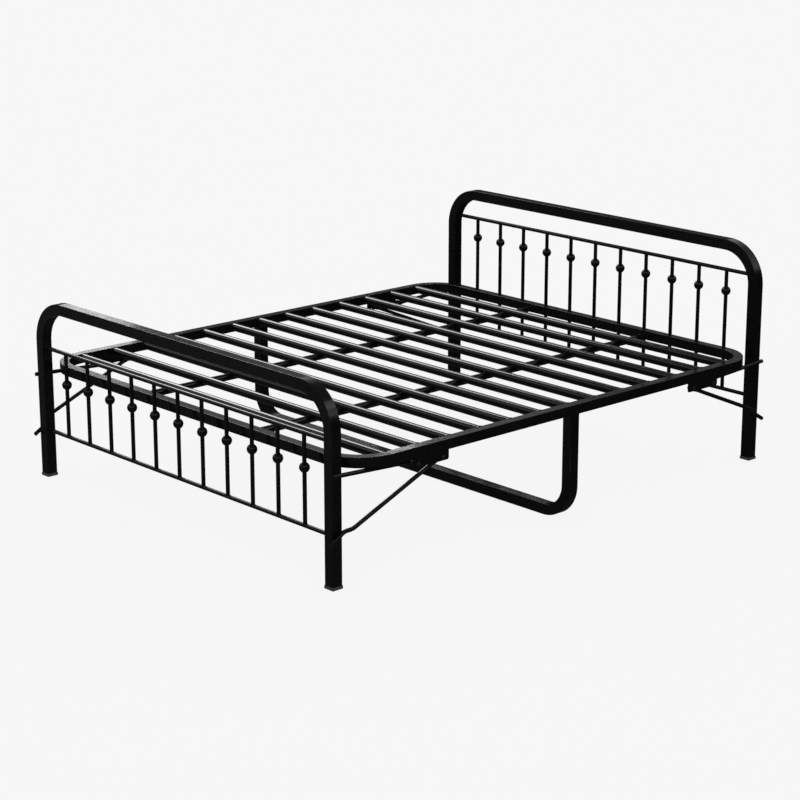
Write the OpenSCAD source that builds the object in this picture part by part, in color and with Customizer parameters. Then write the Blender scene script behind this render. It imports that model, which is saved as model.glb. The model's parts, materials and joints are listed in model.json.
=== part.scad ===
// Folding metal double bed: a slatted tube platform on a centre leg, with a head board and a foot board
// that swing down and in under the platform on paired stay rods.
// X runs across the bed, the head is at +Y, the foot at -Y, and Z is up from the floor.

/* [Platform] */
// Width over the side rails
platform_w = 1667; // [1400:1:1800]
// Length over the end rails
platform_l = 1909.4; // [1800:0.1:2000]
// Height of the platform's top above the floor
platform_top = 405; // [395:1:425]
// Width and height of the platform's square tube
platform_tube = 34; // [30:1:38]
// Outer radius of the tube bends
bend_r = 150; // [120:1:160]
// Diameter of a slat tube
slat_d = 30; // [26:1:32]
// Slats on each side of the middle slat
slat_pairs = 6; // [4:1:6]
// Middle slat to its neighbour
first_slat_pitch = 128.5; // [110:0.5:130]
// Pitch of the other slats
slat_pitch = 135.5; // [110:0.5:135.5]
// Diameter of the two lengthwise stringers
stringer_d = 25; // [20:1:26]
// Stringer axis from the middle of the bed
stringer_x = 295; // [200:1:400]

/* [End boards] */
// Spacing of the two leg centres of a board
leg_spacing = 1540; // [1538:1:1542]
// Spacing of the planes of the two boards
board_spacing = 1977; // [1977:1:1985]
// Width of a board's square tube
leg_tube = 38; // [34:1:38]
// Height of the head board
head_h = 792; // [780:1:810]
// Height of the foot board
foot_h = 642; // [635:1:650]
// Diameter of the round bars in a board
bar_d = 14; // [10:0.5:14]
// Spindles in a board
spindles = 11; // [5:2:11]
// Pitch of the spindles
spindle_pitch = 127.6; // [100:0.1:128]
// Diameter of the ball on each spindle
ball_d = 34; // [26:1:40]

/* [Folding gear] */
// Diameter of a stay rod
stay_d = 14; // [12:1:14]
// Diameter of a pivot bolt
bolt_d = 8; // [6:1:8]
// Upper stay's bolt from the middle of the bed
upper_bolt_y = 698; // [695:1:700]
// Lower stay's bolt from the middle of the bed
lower_bolt_y = 594; // [590:1:597]
// Height of the bolts above the floor
bolt_z = 350; // [348:0.5:350]

/* [Hidden] */
$fn = 48;
wall = 1.5;
slat_wall = 1.2;
run_fit = 0.05;
cut = 1;

rail_bottom = platform_top - platform_tube;
slat_z = platform_top - slat_d / 2;
slat_offsets = [for (n = [0 : slat_pairs]) n == 0 ? 0 : first_slat_pitch + (n - 1) * slat_pitch];
stringer_z = 374.3;
side_in = platform_w / 2 - platform_tube;
end_in = platform_l / 2 - platform_tube;

board_y = board_spacing / 2;
leg_x = leg_spacing / 2;
leg_face = leg_x + leg_tube / 2;
board_w = leg_spacing + leg_tube;
foot_bars = [169, 467];
head_bars = [237, 679];
foot_ball_z = 356;
head_ball_z = 601;
spindle_d = bar_d - 0.4;
cap_w = leg_tube + 4;
cap_h = 11;
cap_floor = 3;

centre_y = 8;
centre_outer = 828.5;
centre_bend_r = 120;

plate_t = 3.5;
plate_in = platform_w / 2 - plate_t;
plate_ends = [567.5, 720];
plate_bottom = 339.5;
plate_corner = 8;
lower_stay_x = 822.5;
stay_leg_x = 797;
eye_d = 26;
eye_t = 8;
eye_weld = 2;
bend_swell = 0.6;
head_flats = 13;
head_t = 5;
nut_t = 6.5;
clip_t = 2;
clip_d = 15;
stack_gap = 0.3;
bolt_tail = 3;
spacer_d = 14;
pin_d = 6;
pin_collar_d = 11;
upper_pin_y = 1000;
lower_pin_y = 976;
// Stay routes as [x, distance from the middle of the bed, z]
upper_route = [
    [stay_leg_x, upper_bolt_y, bolt_z],
    [stay_leg_x, 1012, 367]
];
lower_route = [
    [lower_stay_x, lower_bolt_y, bolt_z],
    [lower_stay_x, 957.5, 197],
    [stay_leg_x, 966, 186],
    [stay_leg_x, 1026, 150]
];
upper_pin_z = height_on(upper_route[0], upper_route[1], upper_pin_y);
lower_pin_z = height_on(lower_route[2], lower_route[3], lower_pin_y);

paint = [0.02, 0.02, 0.022];
plastic = [0.16, 0.16, 0.165];
zinc = [0.45, 0.45, 0.46];

// Height at a distance y from the middle of the bed on the straight line from a to b
function height_on(a, b, y) = a.z + (y - a.y) * (b.z - a.z) / (b.y - a.y);

// Places children at the head (end = 1) or mirrored at the foot (end = -1), on the right (side = 1)
// or mirrored on the left (side = -1)
module place(end, side = 1)
    mirror([side < 0 ? 1 : 0, 0, 0])
    mirror([0, end < 0 ? 1 : 0, 0])
    children();

module rounded_outline(w, l, r) {
    square([w - 2 * r, l], center = true);
    square([w, l - 2 * r], center = true);
    for (x = [-1, 1], y = [-1, 1])
        translate([x * (w / 2 - r), y * (l / 2 - r)])
        circle(r);
}

// Flat outline of the inverted U of a board, set in by inset from the tube's outer face
module arch_outline(h, inset, bottom) {
    r = bend_r - inset;
    half = board_w / 2 - inset;
    translate([-half, bottom])
    square([2 * half, h - bend_r - bottom]);
    translate([-(board_w / 2 - bend_r), bottom])
    square([board_w - 2 * bend_r, h - inset - bottom]);
    for (x = [-1, 1])
        translate([x * (board_w / 2 - bend_r), h - bend_r])
        circle(r);
}

// Stands a flat outline up in the plane of a board and gives it a depth d along Y
module upright(d)
    rotate([90, 0, 0])
    linear_extrude(height = d, center = true)
    children();

module round_bar(a, b, d) {
    v = b - a;
    length = norm(v);
    translate(a)
    rotate([0, acos(v.z / length), atan2(v.y, v.x)])
    cylinder(h = length, d = d);
}

module cross_bore(x, y, z, d, length)
    translate([x - length / 2, y, z])
    rotate([0, 90, 0])
    cylinder(h = length, d = d);

// Platform

module platform_frame() {
    color(paint)
    difference() {
        translate([0, 0, rail_bottom])
        linear_extrude(height = platform_tube)
        difference() {
            rounded_outline(platform_w, platform_l, bend_r);
            rounded_outline(2 * side_in, 2 * end_in, bend_r - platform_tube);
        }
        translate([0, 0, rail_bottom + wall])
        linear_extrude(height = platform_tube - 2 * wall)
        difference() {
            rounded_outline(platform_w - 2 * wall, platform_l - 2 * wall, bend_r - wall);
            rounded_outline(2 * (side_in + wall), 2 * (end_in + wall), bend_r - platform_tube + wall);
        }
    }
}

function slat_y(n) = sign(n - slat_pairs - 1) * slat_offsets[abs(n - slat_pairs - 1)];

module slat(n) {
    color(paint)
    intersection() {
        translate([0, slat_y(n), slat_z])
        rotate([0, 90, 0])
        difference() {
            cylinder(h = platform_w, d = slat_d, center = true);
            cylinder(h = platform_w + 2 * cut, d = slat_d - 2 * slat_wall, center = true);
        }
        translate([0, 0, rail_bottom])
        linear_extrude(height = platform_tube + cut)
        rounded_outline(2 * side_in, 2 * end_in, bend_r - platform_tube);
    }
}

// Lengthwise tube saddled under every slat and butted between the end rails
module stringer(side) {
    color(paint)
    difference() {
        translate([side * stringer_x, 0, stringer_z])
        rotate([90, 0, 0])
        difference() {
            cylinder(h = 2 * end_in, d = stringer_d, center = true);
            cylinder(h = 2 * end_in + 2 * cut, d = stringer_d - 2 * wall, center = true);
        }
        for (n = [1 : 2 * slat_pairs + 1])
            translate([side * stringer_x - stringer_d, slat_y(n), slat_z])
            rotate([0, 90, 0])
            cylinder(h = 2 * stringer_d, d = slat_d);
    }
}

module centre_outline(inset) {
    r = centre_bend_r - inset;
    half = centre_outer - inset;
    translate([-half, centre_bend_r])
    square([2 * half, rail_bottom + cut - centre_bend_r]);
    translate([-(centre_outer - centre_bend_r), inset])
    square([2 * (centre_outer - centre_bend_r), rail_bottom + cut - inset]);
    for (x = [-1, 1])
        translate([x * (centre_outer - centre_bend_r), centre_bend_r])
        circle(r);
}

module centre_leg() {
    color(paint)
    intersection() {
        translate([0, centre_y, 0])
        difference() {
            upright(leg_tube)
            difference() {
                centre_outline(0);
                centre_outline(leg_tube);
            }
            upright(leg_tube - 2 * wall)
            difference() {
                centre_outline(wall);
                centre_outline(leg_tube - wall);
            }
        }
        translate([0, centre_y, rail_bottom / 2])
        cube([platform_w, bend_r, rail_bottom], center = true);
    }
}

// Folding gear

module bracket(end, side) {
    width = plate_ends[1] - plate_ends[0];
    depth = rail_bottom - plate_bottom;
    color(paint)
    place(end, side)
    difference() {
        translate([plate_in, plate_ends[0], plate_bottom])
        rotate([90, 0, 90])
        linear_extrude(height = plate_t) {
            translate([0, plate_corner])
            square([width, depth - plate_corner]);
            translate([plate_corner, 0])
            square([width - 2 * plate_corner, depth]);
            for (y = [plate_corner, width - plate_corner])
                translate([y, plate_corner])
                circle(plate_corner);
        }
        for (y = [lower_bolt_y, upper_bolt_y])
            cross_bore(plate_in + plate_t / 2, y, bolt_z, bolt_d, 2 * plate_t);
    }
}

// Repeats children at the four pivot bolts at a distance y from the middle of the bed, with Z outwards
module at_bolts(y)
    for (end = [-1, 1], side = [-1, 1])
        place(end, side)
        translate([0, y, bolt_z])
        rotate([0, 90, 0])
        children();

// A bolt from its inner end to the bracket's outer face, with a hexagon head outside
module bolt(inner_end) {
    translate([0, 0, inner_end])
    cylinder(h = platform_w / 2 - inner_end + cut, d = bolt_d);
    translate([0, 0, platform_w / 2])
    cylinder(h = head_t, d = head_flats / cos(30), $fn = 6);
}

module collar(inner_end, length, outer_d)
    translate([0, 0, inner_end])
    difference() {
        cylinder(h = length, d = outer_d);
        translate([0, 0, -cut])
        cylinder(h = length + 2 * cut, d = bolt_d);
    }

upper_eye_in = stay_leg_x - eye_t / 2 - stack_gap;
upper_eye_out = stay_leg_x + eye_t / 2 + stack_gap;
lower_eye_in = lower_stay_x - eye_t / 2 - stack_gap;
lower_eye_out = lower_stay_x + eye_t / 2 + stack_gap;

module pivot_bolts() {
    color(zinc) {
        at_bolts(upper_bolt_y)
        bolt(upper_eye_in - clip_t);
        at_bolts(lower_bolt_y)
        bolt(lower_eye_in - nut_t - bolt_tail);
    }
}

module pivot_nuts() {
    color(zinc)
    at_bolts(lower_bolt_y)
    translate([0, 0, lower_eye_in - nut_t])
    difference() {
        cylinder(h = nut_t, d = head_flats / cos(30), $fn = 6);
        translate([0, 0, -cut])
        cylinder(h = nut_t + 2 * cut, d = bolt_d);
    }
}

// Thin push-on clips inside the upper eyes, where the folded legs leave no room for a nut
module pivot_clips() {
    color(zinc)
    at_bolts(upper_bolt_y)
    collar(upper_eye_in - clip_t, clip_t, clip_d);
}

module pivot_spacers() {
    color(zinc) {
        at_bolts(upper_bolt_y)
        collar(upper_eye_out, plate_in - upper_eye_out, spacer_d);
        at_bolts(lower_bolt_y)
        collar(lower_eye_out, plate_in - lower_eye_out, spacer_d);
    }
}

// A stay rod: a flat eye on the bolt, then round bar along the rest of its route
module stay_body(route) {
    last = len(route) - 1;
    run = route[1] - route[0];
    rod_start = route[0] + run * (eye_d / 2 - eye_weld) / norm(run);
    difference() {
        cross_bore(route[0].x, route[0].y, route[0].z, eye_d, eye_t);
        cross_bore(route[0].x, route[0].y, route[0].z, bolt_d + 2 * run_fit, 4 * eye_t);
    }
    for (n = [1 : last])
        round_bar(n == 1 ? rod_start : route[n - 1], route[n], stay_d);
    if (last > 1)
        for (n = [1 : last - 1])
            translate(route[n])
            sphere(d = stay_d + bend_swell);
}

module upper_stay(end, side) {
    color(paint)
    place(end, side)
    difference() {
        stay_body(upper_route);
        cross_bore(stay_leg_x, upper_pin_y, upper_pin_z, pin_d + 2 * run_fit, 2 * stay_d);
    }
}

// The lower stay carries its own pivot boss, which runs on the leg's face
module lower_stay(end, side) {
    boss_in = leg_face + stack_gap;
    color(paint)
    place(end, side) {
        stay_body(lower_route);
        translate([boss_in, lower_pin_y, lower_pin_z])
        rotate([0, 90, 0])
        cylinder(h = stay_leg_x - boss_in, d = pin_collar_d);
    }
}

// End boards

module board_frame(end, h) {
    color(paint)
    difference() {
        translate([0, end * board_y, 0])
        difference() {
            upright(leg_tube)
            difference() {
                arch_outline(h, 0, cap_floor);
                arch_outline(h, leg_tube, 0);
            }
            upright(leg_tube - 2 * wall)
            difference() {
                arch_outline(h, wall, 0);
                arch_outline(h, leg_tube - wall, -cut);
            }
        }
        for (side = [-1, 1])
            place(end, side)
            cross_bore(leg_face, upper_pin_y, upper_pin_z, pin_d, 4 * wall);
    }
}

module board_bar(end, h, z) {
    color(paint)
    intersection() {
        translate([0, end * board_y, z])
        rotate([0, 90, 0])
        cylinder(h = board_w, d = bar_d, center = true);
        translate([0, end * board_y, 0])
        upright(2 * bar_d)
        arch_outline(h, leg_tube, 0);
    }
}

// Repeats children at every spindle of a board
module at_spindles(end)
    for (n = [0 : spindles - 1])
        translate([(n - (spindles - 1) / 2) * spindle_pitch, end * board_y, 0])
        children();

module board_spindles(end, bars) {
    color(paint)
    difference() {
        at_spindles(end)
        translate([0, 0, bars[0]])
        cylinder(h = bars[1] - bars[0], d = spindle_d);
        for (z = bars)
            translate([0, end * board_y, z])
            rotate([0, 90, 0])
            cylinder(h = board_w, d = bar_d, center = true);
    }
}

module board_balls(end, z) {
    color(paint)
    at_spindles(end)
    translate([0, 0, z])
    difference() {
        sphere(d = ball_d);
        cylinder(h = ball_d + 2 * cut, d = spindle_d, center = true);
    }
}

module board_caps(end) {
    color(plastic)
    for (side = [-1, 1])
        translate([side * leg_x, end * board_y, 0])
        difference() {
            translate([-cap_w / 2, -cap_w / 2, 0])
            cube([cap_w, cap_w, cap_h]);
            translate([-leg_tube / 2, -leg_tube / 2, cap_floor])
            cube([leg_tube, leg_tube, cap_h]);
        }
}

// Pins fixed in the legs, with a collar against the face, on which the upper stays turn
module board_pins(end) {
    collar_t = stay_leg_x - stay_d / 2 - leg_face - stack_gap;
    pin_in = leg_face - 3 * wall;
    color(zinc)
    for (side = [-1, 1])
        place(end, side)
        translate([0, upper_pin_y, upper_pin_z])
        rotate([0, 90, 0]) {
            translate([0, 0, pin_in])
            cylinder(h = stay_leg_x + stay_d / 2 - pin_in, d = pin_d);
            translate([0, 0, leg_face])
            cylinder(h = collar_t, d = pin_collar_d);
        }
}

platform_frame();
slat(1);  // slat_01
slat(2);  // slat_02
slat(3);  // slat_03
slat(4);  // slat_04
slat(5);  // slat_05
slat(6);  // slat_06
slat(7);  // slat_07
slat(8);  // slat_08
slat(9);  // slat_09
slat(10);  // slat_10
slat(11);  // slat_11
slat(12);  // slat_12
slat(13);  // slat_13
stringer(-1);  // stringer_left
stringer(1);  // stringer_right
centre_leg();
bracket(-1, -1);  // bracket_foot_left
bracket(-1, 1);  // bracket_foot_right
bracket(1, -1);  // bracket_head_left
bracket(1, 1);  // bracket_head_right
pivot_bolts();
pivot_nuts();
pivot_clips();
pivot_spacers();
board_frame(-1, foot_h);  // foot_board_frame
board_bar(-1, foot_h, foot_bars[1]);  // foot_board_upper_bar
board_bar(-1, foot_h, foot_bars[0]);  // foot_board_lower_bar
board_spindles(-1, foot_bars);  // foot_board_spindles
board_balls(-1, foot_ball_z);  // foot_board_balls
board_caps(-1);  // foot_board_caps
board_pins(-1);  // foot_board_pins
board_frame(1, head_h);  // head_board_frame
board_bar(1, head_h, head_bars[1]);  // head_board_upper_bar
board_bar(1, head_h, head_bars[0]);  // head_board_lower_bar
board_spindles(1, head_bars);  // head_board_spindles
board_balls(1, head_ball_z);  // head_board_balls
board_caps(1);  // head_board_caps
board_pins(1);  // head_board_pins
upper_stay(-1, -1);  // foot_upper_stay_left
upper_stay(-1, 1);  // foot_upper_stay_right
lower_stay(-1, -1);  // foot_lower_stay_left
lower_stay(-1, 1);  // foot_lower_stay_right
upper_stay(1, -1);  // head_upper_stay_left
upper_stay(1, 1);  // head_upper_stay_right
lower_stay(1, -1);  // head_lower_stay_left
lower_stay(1, 1);  // head_lower_stay_right
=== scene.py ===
"""Looks for the folding metal double bed frame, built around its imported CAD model."""

import json
import math
import random

import bmesh
import bpy
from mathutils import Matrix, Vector

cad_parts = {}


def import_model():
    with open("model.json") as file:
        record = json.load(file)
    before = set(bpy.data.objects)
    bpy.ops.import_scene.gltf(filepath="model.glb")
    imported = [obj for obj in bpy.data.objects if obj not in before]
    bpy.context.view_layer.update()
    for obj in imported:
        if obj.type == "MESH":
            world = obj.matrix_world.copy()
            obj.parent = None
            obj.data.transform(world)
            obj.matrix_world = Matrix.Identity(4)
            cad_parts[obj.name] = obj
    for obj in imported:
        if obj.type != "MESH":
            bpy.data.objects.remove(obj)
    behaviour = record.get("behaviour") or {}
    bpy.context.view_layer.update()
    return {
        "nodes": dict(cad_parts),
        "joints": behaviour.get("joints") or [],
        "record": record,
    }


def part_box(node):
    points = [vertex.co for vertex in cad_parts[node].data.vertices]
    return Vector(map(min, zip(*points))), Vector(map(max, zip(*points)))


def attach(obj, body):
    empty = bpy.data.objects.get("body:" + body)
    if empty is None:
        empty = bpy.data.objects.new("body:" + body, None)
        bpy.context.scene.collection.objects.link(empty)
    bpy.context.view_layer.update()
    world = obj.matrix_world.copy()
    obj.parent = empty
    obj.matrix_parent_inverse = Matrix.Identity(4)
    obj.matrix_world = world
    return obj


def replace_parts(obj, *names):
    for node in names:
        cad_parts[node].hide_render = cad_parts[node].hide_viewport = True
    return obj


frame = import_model()

# Sizes in metres
BEND_R = 0.150          # outer radius of the bends in the boards and the platform
CENTRE_BEND_R = 0.120   # the same in the centre leg
TUBE_CORNER = 0.0012    # corner radius of the square tubes' section
BEND_STEPS = 28         # path points around a quarter bend
CORNER_STEPS = 4        # section points around a tube corner
ROUND_STEPS = 36        # section points around a round bar
ROD_BEND_R = 0.022      # bend radius on the axis of a stay rod's joggle
ROD_TAPER = 0.028       # length over which a stay's flat eye turns into round bar
ROD_NOSE = 0.0015       # chamfer on a stay's free end
ROD_R = 0.007           # a stay's round bar
EYE_R = 0.013           # a stay's flat eye: radius, half thickness, half width of its neck, edge chamfer
EYE_HALF = 0.004
EYE_NECK = 0.0095
EYE_CHAMFER = 0.0012
EYE_OVERLAP = 0.003     # how far the neck starts inside the eye's rim
TAPER_STEPS = 8
BOSS_Y = 0.976          # where the lower stay's boss stands off the leg
BOSS_R = 0.0055
BOSS_L = 0.0075
WELD_R = 0.0018         # radius of a weld bead
WELD_SINK = 0.25        # share of its radius by which a ring bead stands off the bar
WELD_RING = 8           # section points around a weld bead
WELD_STEP = 0.003       # path step along a straight weld
BRACKET_WELDS = ((0.06, 0.34), (0.66, 0.94))    # stitches, as shares of a bracket's length
SADDLE_SPREAD = 0.72    # share of a stringer's radius that a saddle bead covers
SLAT_R = 0.015
BALL_R = 0.017
SPINDLES = 11
BOLT_R = 0.004
BOLT_FLATS = 0.0065     # half the width across a bolt head's flats
BOLT_EDGE = 0.0062      # radius of the head's top, inside its chamfer
BOLT_SHOULDER = 0.0036  # height at which the chamfer starts
THREAD_PITCH = 0.00125
THREAD_DEPTH = 0.0006
THREAD_LENGTH = 0.010
CLIP_TAIL = 0.002       # how far a bolt's end stands inside the clips' and the nuts' outer faces
NUT_TAIL = 0.0095
CORE = 0.0001           # smallest radius in a turned profile
CAP_CORNER = 0.0020     # corner radius of a leg cap's section
# A leg cap's height and how far its side is drawn in there
CAP_PROFILE = ((0.0, 0.0012), (0.0004, 0.0005), (0.0010, 0.0), (0.0096, 0.0),
               (0.0104, 0.0003), (0.0108, 0.0009), (0.0110, 0.0018))
CAMERA_AT = (5.5969, -5.1111, 2.3894)
CAMERA_AZIMUTH = 0.8321
CAMERA_ELEVATION = 0.2754
CAMERA_LENS = 99.8
FLOOR_DIM = 0.004       # the floor in reflections, under the bed and behind it
FLOOR_BRIGHT = 0.07     # the same, well in front
FLOOR_GLOW = 0.95       # how much of the floor's whiteness is its own light, free of shadow
# The studio in reflections: sine of the height above the horizon, brightness
SKY_BANDS = ((0.0, 0.006), (0.20, 0.03), (0.27, 0.12), (0.34, 0.60), (0.48, 0.50), (0.70, 0.08), (1.0, 0.03))
FAR_REACH = 30.0        # distance of the small far panels, which show as bright patches on flat tops
# Name, direction in degrees round from +X, height in degrees, width, height, power
FAR_PANELS = (("far_left", 147.9, 13.5, 1.3, 0.7, 13), ("far_middle", 137.7, 17.0, 0.5, 0.4, 4.5))

random.seed(7)


# Mesh helpers

def new_object(name, verts, faces, body, material, smooth=True):
    mesh = bpy.data.meshes.new(name)
    mesh.from_pydata([tuple(v) for v in verts], [], faces)
    mesh.update()
    bm = bmesh.new()
    bm.from_mesh(mesh)
    bmesh.ops.remove_doubles(bm, verts=bm.verts, dist=1e-6)
    bmesh.ops.dissolve_degenerate(bm, edges=bm.edges, dist=1e-7)
    bmesh.ops.recalc_face_normals(bm, faces=bm.faces)
    bm.to_mesh(mesh)
    bm.free()
    for face in mesh.polygons:
        face.use_smooth = smooth
    obj = bpy.data.objects.new(name, mesh)
    bpy.context.scene.collection.objects.link(obj)
    mesh.materials.append(material)
    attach(obj, body)
    return obj


def weighted_normals(obj):
    modifier = obj.modifiers.new("weighted", "WEIGHTED_NORMAL")
    modifier.keep_sharp = True
    modifier.weight = 100
    return obj


def rounded_section(half_a, half_b, radius, steps=CORNER_STEPS):
    """Points around a rectangle with rounded corners, centred on the origin."""
    points = []
    for quarter in range(4):
        start = quarter * math.pi / 2
        sa = 1 if quarter in (0, 3) else -1
        sb = 1 if quarter in (0, 1) else -1
        for k in range(steps + 1):
            angle = start + k / steps * math.pi / 2
            points.append((sa * (half_a - radius) + radius * math.cos(angle),
                           sb * (half_b - radius) + radius * math.sin(angle)))
    return points


def round_section(radius, steps=ROUND_STEPS):
    return [(radius * math.cos(2 * math.pi * k / steps), radius * math.sin(2 * math.pi * k / steps))
            for k in range(steps)]


def sweep(path, section, up, closed=False):
    """Carries a section, or one section for each point, along a path. up is the direction that the
    section's second axis leans to."""
    sections = section if isinstance(section[0], list) else [section] * len(path)
    verts, faces = [], []
    count, ring = len(path), len(sections[0])
    for n, point in enumerate(path):
        before = path[n - 1] if closed or n else point
        after = path[(n + 1) % count] if closed or n < count - 1 else point
        tangent = (after - before).normalized()
        side = tangent.cross(up).normalized()
        lift = side.cross(tangent).normalized()
        for a, b in sections[n]:
            verts.append(point + side * a + lift * b)
    spans = count if closed else count - 1
    for n in range(spans):
        here, there = n * ring, (n + 1) % count * ring
        for k in range(ring):
            j = (k + 1) % ring
            faces.append((here + k, here + j, there + j, there + k))
    if not closed:
        faces.append(tuple(range(ring)))
        faces.append(tuple(range((count - 1) * ring, count * ring)))
    return verts, faces


def arc(centre, radius, start, end, plane, steps=BEND_STEPS):
    """Points on an arc in the plane of two unit vectors, angles in quarter turns."""
    a, b = plane
    points = []
    for k in range(steps + 1):
        angle = (start + (end - start) * k / steps) * math.pi / 2
        points.append(centre + radius * (math.cos(angle) * a + math.sin(angle) * b))
    return points


def filleted(points, radius, steps=8):
    """A polyline with each inner corner rounded to the radius."""
    path = [points[0]]
    for n in range(1, len(points) - 1):
        corner = points[n]
        back = (points[n - 1] - corner).normalized()
        ahead = (points[n + 1] - corner).normalized()
        half = math.acos(max(-1, min(1, back.dot(ahead)))) / 2
        reach = min(radius / math.tan(half), 0.45 * (points[n + 1] - corner).length,
                    0.45 * (points[n - 1] - corner).length)
        first, last = corner + back * reach, corner + ahead * reach
        for k in range(steps + 1):
            t = k / steps
            path.append(first * (1 - t) ** 2 + corner * 2 * t * (1 - t) + last * t ** 2)
    path.append(points[-1])
    return path


def dense(path, step):
    """The same polyline with points no further apart than step."""
    out = [path[0]]
    for a, b in zip(path, path[1:]):
        pieces = max(1, math.ceil((b - a).length / step))
        out += [a.lerp(b, (k + 1) / pieces) for k in range(pieces)]
    return out


def lathe(profile, origin, axis, steps=36):
    """Turns a closed profile of (radius, distance along the axis) about an axis through origin."""
    axis = Vector(axis).normalized()
    side = axis.orthogonal().normalized()
    other = axis.cross(side)
    verts, faces = [], []
    size = len(profile)
    for k in range(steps):
        angle = 2 * math.pi * k / steps
        radial = side * math.cos(angle) + other * math.sin(angle)
        for radius, along in profile:
            verts.append(origin + axis * along + radial * radius)
    for k in range(steps):
        here, there = k * size, (k + 1) % steps * size
        for n in range(size):
            m = (n + 1) % size
            faces.append((here + n, here + m, there + m, there + n))
    return verts, faces


def join(parts):
    """Joins (verts, faces) pairs into one."""
    verts, faces = [], []
    for v, f in parts:
        base = len(verts)
        verts.extend(v)
        faces.extend(tuple(i + base for i in face) for face in f)
    return verts, faces


def weld_loop(path, radius, up, closed=True):
    """A rippled weld bead along a path: overlapping scales of a fillet."""
    sections = []
    for n in range(len(path)):
        swell = radius * (0.88 + 0.16 * math.sin(n * 2.1) + random.uniform(-0.07, 0.07))
        sections.append(round_section(swell, WELD_RING))
    return sweep(path, sections, up, closed)


def ring_weld(centre, axis, radius, bead=WELD_R, steps=44):
    """The bead around a round bar where it meets a face that stands across its axis."""
    axis = Vector(axis).normalized()
    side = axis.orthogonal().normalized()
    other = axis.cross(side)
    path = [centre + (side * math.cos(2 * math.pi * k / steps) + other * math.sin(2 * math.pi * k / steps))
            * (radius + bead * WELD_SINK) for k in range(steps)]
    return weld_loop(path, bead, axis)


# Materials

def shader(name):
    material = bpy.data.materials.new(name)
    material.use_nodes = True
    tree = material.node_tree
    return material, tree, tree.nodes["Principled BSDF"]


def node(tree, kind, **values):
    made = tree.nodes.new(kind)
    for key, value in values.items():
        if key in made.inputs:
            made.inputs[key].default_value = value
        else:
            setattr(made, key, value)
    return made


def noise(tree, scale, detail=3.0, rough=0.5):
    coords = tree.nodes.new("ShaderNodeTexCoord")
    texture = node(tree, "ShaderNodeTexNoise", Scale=scale, Detail=detail, Roughness=rough)
    tree.links.new(coords.outputs["Object"], texture.inputs["Vector"])
    return texture.outputs["Fac"]


def ramp(tree, source, low, high, colour_low, colour_high):
    made = tree.nodes.new("ShaderNodeValToRGB")
    made.color_ramp.elements[0].position = low
    made.color_ramp.elements[0].color = (*colour_low, 1)
    made.color_ramp.elements[1].position = high
    made.color_ramp.elements[1].color = (*colour_high, 1)
    tree.links.new(source, made.inputs["Fac"])
    return made.outputs["Color"]


def spread(tree, source, low, high):
    made = tree.nodes.new("ShaderNodeMapRange")
    made.inputs["From Min"].default_value = 0.3
    made.inputs["From Max"].default_value = 0.7
    made.inputs["To Min"].default_value = low
    made.inputs["To Max"].default_value = high
    tree.links.new(source, made.inputs["Value"])
    return made.outputs["Result"]


def add_bump(tree, principled, layers):
    """Adds bumps from (height source, strength, distance in metres), one after the other."""
    previous = None
    for source, strength, distance in layers:
        bump = tree.nodes.new("ShaderNodeBump")
        bump.inputs["Strength"].default_value = strength
        bump.inputs["Distance"].default_value = distance
        tree.links.new(source, bump.inputs["Height"])
        if previous is not None:
            tree.links.new(previous, bump.inputs["Normal"])
        previous = bump.outputs["Normal"]
    tree.links.new(previous, principled.inputs["Normal"])


def paint_material():
    """Gloss black enamel: faint orange peel, a soft dust haze and small changes of gloss."""
    material, tree, principled = shader("gloss_black_enamel")
    haze = noise(tree, 5.0, 5.0)
    tree.links.new(ramp(tree, haze, 0.35, 0.8, (0.0012, 0.0012, 0.0013), (0.0026, 0.0026, 0.0028)),
                   principled.inputs["Base Color"])
    tree.links.new(spread(tree, noise(tree, 38.0, 4.0), 0.12, 0.20), principled.inputs["Roughness"])
    principled.inputs["IOR"].default_value = 1.5
    principled.inputs["Coat Weight"].default_value = 0.2
    principled.inputs["Coat Roughness"].default_value = 0.06
    add_bump(tree, principled, [(noise(tree, 260.0, 2.0), 0.015, 0.0006),
                                (noise(tree, 22.0, 2.0), 0.04, 0.0015)])
    return material


def weld_material():
    """The same enamel over a weld: a little rougher, with a grainy crust."""
    material, tree, principled = shader("enamel_over_weld")
    tree.links.new(ramp(tree, noise(tree, 60.0), 0.3, 0.8, (0.0015, 0.0015, 0.0015), (0.004, 0.004, 0.004)),
                   principled.inputs["Base Color"])
    tree.links.new(spread(tree, noise(tree, 180.0, 4.0), 0.25, 0.45), principled.inputs["Roughness"])
    add_bump(tree, principled, [(noise(tree, 900.0, 3.0), 0.35, 0.0004)])
    return material


def hardware_material():
    """Black-oxide steel, brighter where it has been handled and along its edges."""
    material, tree, principled = shader("black_oxide_steel")
    edges = tree.nodes.new("ShaderNodeNewGeometry").outputs["Pointiness"]
    worn = tree.nodes.new("ShaderNodeMapRange")
    worn.inputs["From Min"].default_value = 0.52
    worn.inputs["From Max"].default_value = 0.62
    tree.links.new(edges, worn.inputs["Value"])
    base = ramp(tree, noise(tree, 140.0, 4.0), 0.3, 0.75, (0.010, 0.010, 0.010), (0.028, 0.028, 0.027))
    mix = tree.nodes.new("ShaderNodeMix")
    mix.data_type = "RGBA"
    mix_colours = [socket for socket in mix.inputs if socket.type == "RGBA"]
    mix_colours[1].default_value = (0.12, 0.12, 0.115, 1)
    tree.links.new(base, mix_colours[0])
    tree.links.new(worn.outputs["Result"], mix.inputs["Factor"])
    result = [socket for socket in mix.outputs if socket.type == "RGBA"][0]
    tree.links.new(result, principled.inputs["Base Color"])
    principled.inputs["Metallic"].default_value = 1.0
    tree.links.new(spread(tree, noise(tree, 300.0, 3.0), 0.28, 0.46), principled.inputs["Roughness"])
    add_bump(tree, principled, [(noise(tree, 1400.0, 2.0), 0.15, 0.0002)])
    return material


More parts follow.
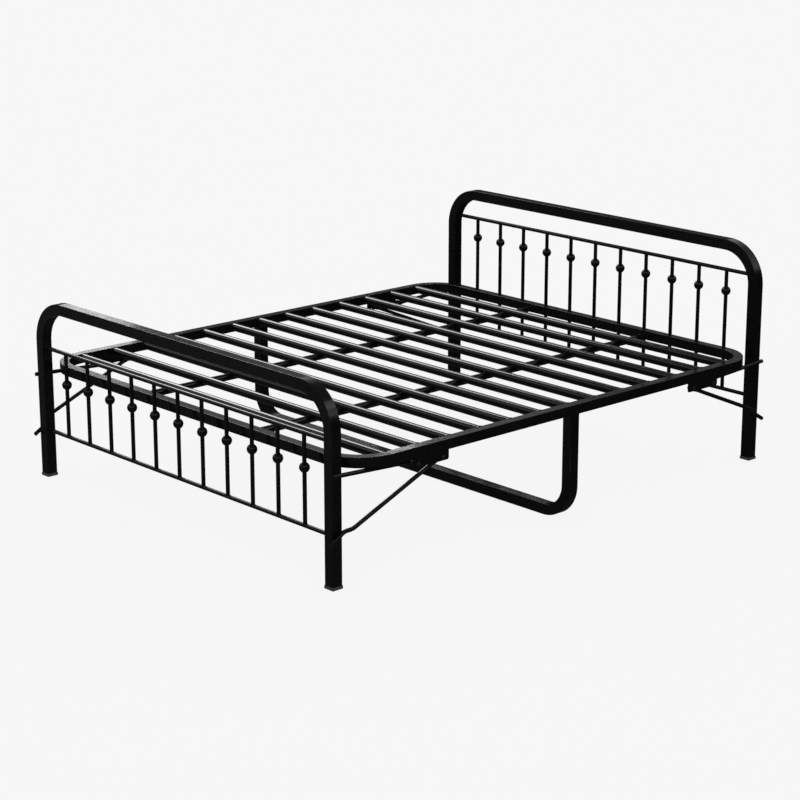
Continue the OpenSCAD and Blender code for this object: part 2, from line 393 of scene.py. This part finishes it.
def plastic_material():
    """Dark grey moulded plastic, mottled, with a spark-eroded grain."""
    material, tree, principled = shader("cap_plastic")
    mottle = ramp(tree, noise(tree, 90.0, 5.0), 0.3, 0.75, (0.022, 0.022, 0.0225), (0.040, 0.040, 0.041))
    tree.links.new(mottle, principled.inputs["Base Color"])
    tree.links.new(spread(tree, noise(tree, 500.0, 3.0), 0.55, 0.75), principled.inputs["Roughness"])
    add_bump(tree, principled, [(noise(tree, 2200.0, 2.0), 0.3, 0.0003)])
    return material


PAINT = paint_material()
WELD = weld_material()
HARDWARE = hardware_material()
PLASTIC = plastic_material()
BY_SLOT = {"gloss_black_paint": PAINT, "blackened_hardware": HARDWARE, "foot_cap_plastic": PLASTIC}
SLOT_OF = {row["node"]: row["material_slot"] for row in frame["record"]["subparts"]}

for name, obj in frame["nodes"].items():
    obj.data.materials.clear()
    obj.data.materials.append(BY_SLOT[SLOT_OF[name]])

X, Y, Z = Vector((1, 0, 0)), Vector((0, 1, 0)), Vector((0, 0, 1))


# Square tubes with rounded sections, in place of the CAD's sharp ones

def platform_loop():
    low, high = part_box("platform_frame")
    half = (high.z - low.z) / 2
    z = (high.z + low.z) / 2
    turn = BEND_R - half
    cx, cy = high.x - BEND_R, high.y - BEND_R
    path = []
    for n, (sx, sy) in enumerate(((1, 1), (-1, 1), (-1, -1), (1, -1))):
        path += arc(Vector((sx * cx, sy * cy, z)), turn, n, n + 1, (X, Y))
    verts, faces = sweep(path, rounded_section(half, half, TUBE_CORNER), Z, closed=True)
    piece = new_object("platform_loop", verts, faces, "platform", PAINT)
    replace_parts(weighted_normals(piece), "platform_frame")


def centre_leg():
    low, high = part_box("centre_leg")
    half = (high.y - low.y) / 2
    y = (high.y + low.y) / 2
    turn = CENTRE_BEND_R - half
    cx = high.x - CENTRE_BEND_R
    path = [Vector((-(high.x - half), y, high.z))]
    path += arc(Vector((-cx, y, CENTRE_BEND_R)), turn, 2, 3, (X, Z))
    path += arc(Vector((cx, y, CENTRE_BEND_R)), turn, 3, 4, (X, Z))
    path += [Vector((high.x - half, y, high.z))]
    verts, faces = sweep(path, rounded_section(half, half, TUBE_CORNER), Y)
    piece = new_object("centre_leg_tube", verts, faces, "platform", PAINT)
    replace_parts(weighted_normals(piece), "centre_leg")


def board_arch(end):
    low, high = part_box(end + "_board_frame")
    half = (high.y - low.y) / 2
    y = (high.y + low.y) / 2
    turn = BEND_R - half
    cx, cz = high.x - BEND_R, high.z - BEND_R
    path = [Vector((high.x - half, y, low.z))]
    path += arc(Vector((cx, y, cz)), turn, 0, 1, (X, Z))
    path += arc(Vector((-cx, y, cz)), turn, 1, 2, (X, Z))
    path += [Vector((-(high.x - half), y, low.z))]
    verts, faces = sweep(path, rounded_section(half, half, TUBE_CORNER), Y)
    piece = new_object(end + "_board_arch", verts, faces, end + "_board", PAINT)
    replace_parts(weighted_normals(piece), end + "_board_frame")


platform_loop()
centre_leg()
for end in ("foot", "head"):
    board_arch(end)


# Stay rods: a forged flat eye that swells into round bar, a smooth joggle and a chamfered tip

def mirrored(point, end, side):
    return Vector((point[0] * side, point[1] * end, point[2]))


def joint_at(name):
    return [joint for joint in frame["joints"] if joint["name"] == name][0]["pos_m"]


def stay_route(level, points):
    """The bolt's place from the record, then the points beyond it."""
    bolt = joint_at({"upper": "head_fold", "lower": "head_lower_stay_turn"}[level])
    return [Vector((points[0][0], bolt[1], bolt[2]))] + [Vector(p) for p in points]


ROUTES = {
    "upper": stay_route("upper", [(0.797, 1.012, 0.367)]),
    "lower": stay_route("lower", [(0.8225, 0.9575, 0.197), (0.797, 0.966, 0.186), (0.797, 1.026, 0.150)]),
}


def stay(level, end, side, body, replaced):
    route = [mirrored(p, end, side) for p in ROUTES[level]]
    smooth_path = filleted(route, ROD_BEND_R)
    run = (smooth_path[1] - smooth_path[0]).normalized()
    path, sections = [], []
    for k in range(TAPER_STEPS + 1):
        t = k / TAPER_STEPS
        ease = t * t * (3 - 2 * t)
        path.append(route[0] + run * (EYE_R - EYE_OVERLAP + ROD_TAPER * t))
        thick = EYE_HALF + (ROD_R - EYE_HALF) * ease
        tall = EYE_NECK + (ROD_R - EYE_NECK) * ease
        sections.append([(thick * a, tall * b) for a, b in round_section(1)])
    tip = smooth_path[-1]
    last_run = (tip - smooth_path[-2]).normalized()
    for point in smooth_path[1:-1] + [tip - last_run * ROD_NOSE]:
        path.append(point)
        sections.append(round_section(ROD_R))
    path.append(tip)
    sections.append(round_section(ROD_R - ROD_NOSE))
    bore = BOLT_R + 0.00005
    ring = [(bore, -EYE_HALF + EYE_CHAMFER), (BOLT_R + EYE_CHAMFER, -EYE_HALF),
            (EYE_R - EYE_CHAMFER, -EYE_HALF), (EYE_R, -EYE_HALF + EYE_CHAMFER),
            (EYE_R, EYE_HALF - EYE_CHAMFER), (EYE_R - EYE_CHAMFER, EYE_HALF),
            (BOLT_R + EYE_CHAMFER, EYE_HALF), (bore, EYE_HALF - EYE_CHAMFER)]
    parts = [sweep(path, sections, Z), lathe(ring, route[0], X, 48)]
    if level == "lower":
        along = (BOSS_Y - route[-2].y * end) / ((route[-1].y - route[-2].y) * end)
        centre = route[-2] + (route[-1] - route[-2]) * along
        centre.x = side * (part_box("head_board_frame")[1].x + 0.0003)
        boss = [(2 * CORE, 0), (BOSS_R, 0), (BOSS_R, BOSS_L), (2 * CORE, BOSS_L)]
        parts.append(lathe(boss, centre, X * side, 32))
    verts, faces = join(parts)
    piece = new_object(replaced + "_rod", verts, faces, body, PAINT)
    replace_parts(weighted_normals(piece), replaced)


for end, sign in (("foot", -1), ("head", 1)):
    for level in ("upper", "lower"):
        for side_name, side in (("left", -1), ("right", 1)):
            group = end + "_" + level
            stay(level, sign, side, group + "_stays", group + "_stay_" + side_name)


# Bolts with chamfered hexagon heads and rolled threads

def bolt_parts(inner, outer, head_out, centre, side):
    """One bolt: its head outside the rail, its thread from the inner end outwards."""
    axis = X * side
    corner = BOLT_FLATS / math.cos(math.pi / 6)
    top = head_out - outer
    head = [(CORE, 0), (corner, 0), (corner, BOLT_SHOULDER), (BOLT_EDGE, top), (CORE, top)]
    turns = int(THREAD_LENGTH / THREAD_PITCH)
    thread = [(CORE, 0), (BOLT_R - 0.001, 0)]
    for n in range(turns):
        thread.append((BOLT_R, (n + 0.5) * THREAD_PITCH))
        thread.append((BOLT_R - THREAD_DEPTH, (n + 1) * THREAD_PITCH))
    thread += [(BOLT_R, (turns + 0.5) * THREAD_PITCH), (BOLT_R, outer - inner), (CORE, outer - inner)]
    base = Vector((outer * side, centre.y, centre.z))
    tail = Vector((inner * side, centre.y, centre.z))
    return [lathe(head, base, axis, 6), lathe(thread, tail, axis, 28)]


def pivot_bolts():
    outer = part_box("platform_frame")[1].x
    head_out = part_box("pivot_bolts")[1].x
    parts = []
    for end in (-1, 1):
        for side in (-1, 1):
            for joint, inner in (("head_fold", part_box("pivot_clips")[1].x - CLIP_TAIL),
                                 ("head_lower_stay_turn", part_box("pivot_nuts")[1].x - NUT_TAIL)):
                at = joint_at(joint)
                parts += bolt_parts(inner, outer, head_out, Vector((0, at[1] * end, at[2])), side)
    verts, faces = join(parts)
    piece = new_object("chamfered_bolts", verts, faces, "platform", HARDWARE,
                       smooth=False)
    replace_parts(piece, "pivot_bolts")


pivot_bolts()


# Leg caps: moulded, with softened edges

def leg_caps(end):
    low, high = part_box(end + "_board_caps")
    y = (low.y + high.y) / 2
    half = (high.y - low.y) / 2
    parts = []
    for side in (-1, 1):
        centre = Vector((side * (high.x - half), y, 0))
        path = [centre + Z * z for z, inset in CAP_PROFILE]
        sections = [rounded_section(half - inset, half - inset, CAP_CORNER) for z, inset in CAP_PROFILE]
        parts.append(sweep(path, sections, Y))
    verts, faces = join(parts)
    piece = new_object(end + "_moulded_caps", verts, faces, end + "_board", PLASTIC)
    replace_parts(weighted_normals(piece), end + "_board_caps")


for end in ("foot", "head"):
    leg_caps(end)


# Weld beads

SLAT_NAMES = sorted(name for name in frame["nodes"] if name.startswith("slat_"))


def slat_frame(name):
    """Middle of a slat, its radius and its half length."""
    low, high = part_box(name)
    return Vector((0, (low.y + high.y) / 2, high.z - SLAT_R)), SLAT_R, high.x


def saddle_beads(slat_centre, slat_r, stringer_x, stringer_z, stringer_r):
    """Two short beads where a slat sits in its stringer, one on each side of the slat."""
    parts = []
    steps = 12
    for side in (-1, 1):
        path = []
        for k in range(steps + 1):
            x = stringer_r * SADDLE_SPREAD * (2 * k / steps - 1)
            z = stringer_z + math.sqrt(stringer_r ** 2 - x * x)
            reach = math.sqrt(max(slat_r ** 2 - (slat_centre.z - z) ** 2, 0))
            path.append(Vector((stringer_x + x, slat_centre.y + side * (reach + 0.0004), z + 0.0003)))
        parts.append(weld_loop(path, WELD_R * 0.9, Z, closed=False))
    return parts


def platform_welds():
    parts = []
    loop_low, loop_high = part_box("platform_frame")
    for name in SLAT_NAMES:
        centre, radius, reach = slat_frame(name)
        for side in (-1, 1):
            parts.append(ring_weld(Vector((side * reach, centre.y, centre.z)), X, radius))
        for stringer in ("stringer_left", "stringer_right"):
            low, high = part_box(stringer)
            parts += saddle_beads(centre, radius, (low.x + high.x) / 2, (low.z + high.z) / 2,
                                  (high.x - low.x) / 2)
    for stringer in ("stringer_left", "stringer_right"):
        low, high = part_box(stringer)
        radius = (high.x - low.x) / 2
        x, z = (low.x + high.x) / 2, (low.z + high.z) / 2
        dip = math.asin((z - loop_low.z) / radius)
        for end_y in (low.y, high.y):
            path = []
            for k in range(25):
                angle = -dip + (math.pi + 2 * dip) * k / 24
                path.append(Vector((x + radius * math.cos(angle), end_y, z + radius * math.sin(angle))))
            parts.append(weld_loop(path, WELD_R, Y, closed=False))
    leg_low, leg_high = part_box("centre_leg")
    rail = loop_high.z - loop_low.z
    for side in (-1, 1):
        inner_x = side * (loop_high.x - rail)
        outer_x = side * leg_high.x
        corners = [Vector((inner_x, leg_low.y, leg_high.z)), Vector((outer_x, leg_low.y, leg_high.z)),
                   Vector((outer_x, leg_high.y, leg_high.z)), Vector((inner_x, leg_high.y, leg_high.z))]
        parts.append(weld_loop(dense(filleted(corners, TUBE_CORNER), WELD_STEP), WELD_R, Z, closed=False))
    for bracket in ("bracket_foot_left", "bracket_foot_right", "bracket_head_left", "bracket_head_right"):
        low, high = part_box(bracket)
        inner_x = low.x if low.x > 0 else high.x
        for start, stop in BRACKET_WELDS:
            a = Vector((inner_x, low.y + (high.y - low.y) * start, high.z))
            b = Vector((inner_x, low.y + (high.y - low.y) * stop, high.z))
            parts.append(weld_loop(dense([a, b], WELD_STEP), WELD_R, Z, closed=False))
    verts, faces = join(parts)
    new_object("platform_weld_beads", verts, faces, "platform", WELD)


def spindle_weld(x, y, bar_z, bar_r, spindle_r, up):
    """The saddle bead around a spindle where it stands on, or hangs from, a round bar."""
    path = []
    steps = 32
    radius = spindle_r + 0.0002
    for k in range(steps):
        angle = 2 * math.pi * k / steps
        across = radius * math.sin(angle)
        rise = math.sqrt(max(bar_r ** 2 - across ** 2, 0))
        path.append(Vector((x + radius * math.cos(angle), y + across, bar_z + up * rise)))
    return weld_loop(path, WELD_R * 0.62, Z)


def board_welds(end):
    parts = []
    spindle_low, spindle_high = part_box(end + "_board_spindles")
    ball_low, ball_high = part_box(end + "_board_balls")
    bars = [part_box(end + "_board_lower_bar"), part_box(end + "_board_upper_bar")]
    y = (bars[0][0].y + bars[0][1].y) / 2
    bar_r = (bars[0][1].z - bars[0][0].z) / 2
    spindle_r = (spindle_high.y - spindle_low.y) / 2
    ball_z = (ball_low.z + ball_high.z) / 2
    collar_z = math.sqrt(BALL_R ** 2 - spindle_r ** 2)
    pitch = (spindle_high.x - spindle_low.x - 2 * spindle_r) / (SPINDLES - 1)
    for low, high in bars:
        z = (low.z + high.z) / 2
        for x in (low.x, high.x):
            parts.append(ring_weld(Vector((x, y, z)), X, bar_r, WELD_R * 0.8, 30))
    for n in range(SPINDLES):
        x = (n - (SPINDLES - 1) / 2) * pitch
        for (low, high), up in zip(bars, (1, -1)):
            parts.append(spindle_weld(x, y, (low.z + high.z) / 2, bar_r, spindle_r, up))
        for side in (-1, 1):
            collar = Vector((x, y, ball_z + side * collar_z))
            parts.append(ring_weld(collar, Z, spindle_r, WELD_R * 0.4, 28))
    verts, faces = join(parts)
    new_object(end + "_board_weld_beads", verts, faces, end + "_board", WELD)


platform_welds()
for end in ("foot", "head"):
    board_welds(end)


# Stage, light and camera

def link(tree, output, target):
    tree.links.new(output, target)


def stage():
    """A pale matt floor that glows as white as the studio, so that only a faint shadow shows on it.
    Reflected in the gloss paint, it reads as a dim studio, brighter to the front."""
    mesh = bpy.data.meshes.new("floor")
    reach = 80.0
    mesh.from_pydata([(-reach, -reach, 0), (reach, -reach, 0), (reach, reach, 0), (-reach, reach, 0)], [],
                     [(0, 1, 2, 3)])
    floor = bpy.data.objects.new("floor", mesh)
    bpy.context.scene.collection.objects.link(floor)
    floor.location.z = -0.0005
    material, tree, principled = shader("pale_floor")
    link(tree, ramp(tree, noise(tree, 2.0), 0.3, 0.7, (0.925, 0.925, 0.925), (0.935, 0.935, 0.935)),
         principled.inputs["Base Color"])
    principled.inputs["Roughness"].default_value = 1.0
    principled.inputs["Specular IOR Level"].default_value = 0.0
    place = tree.nodes.new("ShaderNodeTexCoord")
    split = tree.nodes.new("ShaderNodeSeparateXYZ")
    link(tree, place.outputs["Object"], split.inputs["Vector"])
    glow = tree.nodes.new("ShaderNodeMapRange")
    fade = {"From Min": 1.5, "From Max": -4.0, "To Min": FLOOR_DIM, "To Max": FLOOR_BRIGHT}
    for key, value in fade.items():
        glow.inputs[key].default_value = value
    link(tree, split.outputs["Y"], glow.inputs["Value"])
    dim = tree.nodes.new("ShaderNodeEmission")
    link(tree, glow.outputs["Result"], dim.inputs["Strength"])
    rays = tree.nodes.new("ShaderNodeLightPath")
    mix = tree.nodes.new("ShaderNodeMixShader")
    link(tree, rays.outputs["Is Glossy Ray"], mix.inputs["Fac"])
    glowing = tree.nodes.new("ShaderNodeEmission")
    glowing.inputs["Color"].default_value = (0.93, 0.93, 0.93, 1)
    pale = tree.nodes.new("ShaderNodeMixShader")
    pale.inputs["Fac"].default_value = FLOOR_GLOW
    link(tree, principled.outputs["BSDF"], pale.inputs[1])
    link(tree, glowing.outputs["Emission"], pale.inputs[2])
    link(tree, pale.outputs["Shader"], mix.inputs[1])
    link(tree, dim.outputs["Emission"], mix.inputs[2])
    link(tree, mix.outputs["Shader"], tree.nodes["Material Output"].inputs["Surface"])
    mesh.materials.append(material)


def softbox(name, at, aim, width, height, power):
    """A lamp that shows only as a highlight: the soft even light comes from the world."""
    data = bpy.data.lights.new(name, "AREA")
    data.shape = "RECTANGLE"
    data.size, data.size_y = width, height
    data.energy = power
    lamp = bpy.data.objects.new(name, data)
    lamp.location = at
    lamp.rotation_euler = (Vector(aim) - Vector(at)).to_track_quat("-Z", "Y").to_euler()
    lamp.visible_diffuse = False
    bpy.context.scene.collection.objects.link(lamp)


def world():
    """White all round for the soft light, and for reflections a dark horizon under a bright ceiling."""
    made = bpy.data.worlds.new("studio")
    bpy.context.scene.world = made
    made.use_nodes = True
    tree = made.node_tree
    background = tree.nodes["Background"]
    background.inputs["Color"].default_value = (1, 1, 1, 1)
    place = tree.nodes.new("ShaderNodeTexCoord")
    split = tree.nodes.new("ShaderNodeSeparateXYZ")
    link(tree, place.outputs["Generated"], split.inputs["Vector"])
    bands = tree.nodes.new("ShaderNodeValToRGB")
    bands.color_ramp.elements[0].position = SKY_BANDS[0][0]
    bands.color_ramp.elements[0].color = (*[SKY_BANDS[0][1]] * 3, 1)
    bands.color_ramp.elements[1].position = SKY_BANDS[-1][0]
    bands.color_ramp.elements[1].color = (*[SKY_BANDS[-1][1]] * 3, 1)
    for height, level in SKY_BANDS[1:-1]:
        stop = bands.color_ramp.elements.new(height)
        stop.color = (level, level, level, 1)
    link(tree, split.outputs["Z"], bands.inputs["Fac"])
    mirrored = tree.nodes.new("ShaderNodeBackground")
    link(tree, bands.outputs["Color"], mirrored.inputs["Color"])
    rays = tree.nodes.new("ShaderNodeLightPath")
    mix = tree.nodes.new("ShaderNodeMixShader")
    link(tree, rays.outputs["Is Glossy Ray"], mix.inputs["Fac"])
    link(tree, background.outputs["Background"], mix.inputs[1])
    link(tree, mirrored.outputs["Background"], mix.inputs[2])
    link(tree, mix.outputs["Shader"], tree.nodes["World Output"].inputs["Surface"])


def camera():
    data = bpy.data.cameras.new("camera")
    data.lens = CAMERA_LENS
    data.sensor_width = 36
    data.clip_end = 200
    eye = bpy.data.objects.new("camera", data)
    eye.location = CAMERA_AT
    eye.rotation_euler = (math.pi / 2 - CAMERA_ELEVATION, 0, CAMERA_AZIMUTH)
    bpy.context.scene.collection.objects.link(eye)
    bpy.context.scene.camera = eye


stage()
world()
softbox("left_high", (-5.0, 1.0, 4.4), (0, 0, 0.4), 2.6, 2.6, 130)
softbox("right_high", (4.0, 3.0, 4.6), (0, 0, 0.4), 1.6, 1.6, 5)
for name, azimuth, elevation, width, height, power in FAR_PANELS:
    flat = FAR_REACH * math.cos(math.radians(elevation))
    spot = (flat * math.cos(math.radians(azimuth)), flat * math.sin(math.radians(azimuth)),
            FAR_REACH * math.sin(math.radians(elevation)) + 0.5)
    softbox(name, spot, (0, 0, 0.5), width, height, power)
camera()
bpy.context.scene.view_settings.view_transform = "Standard"
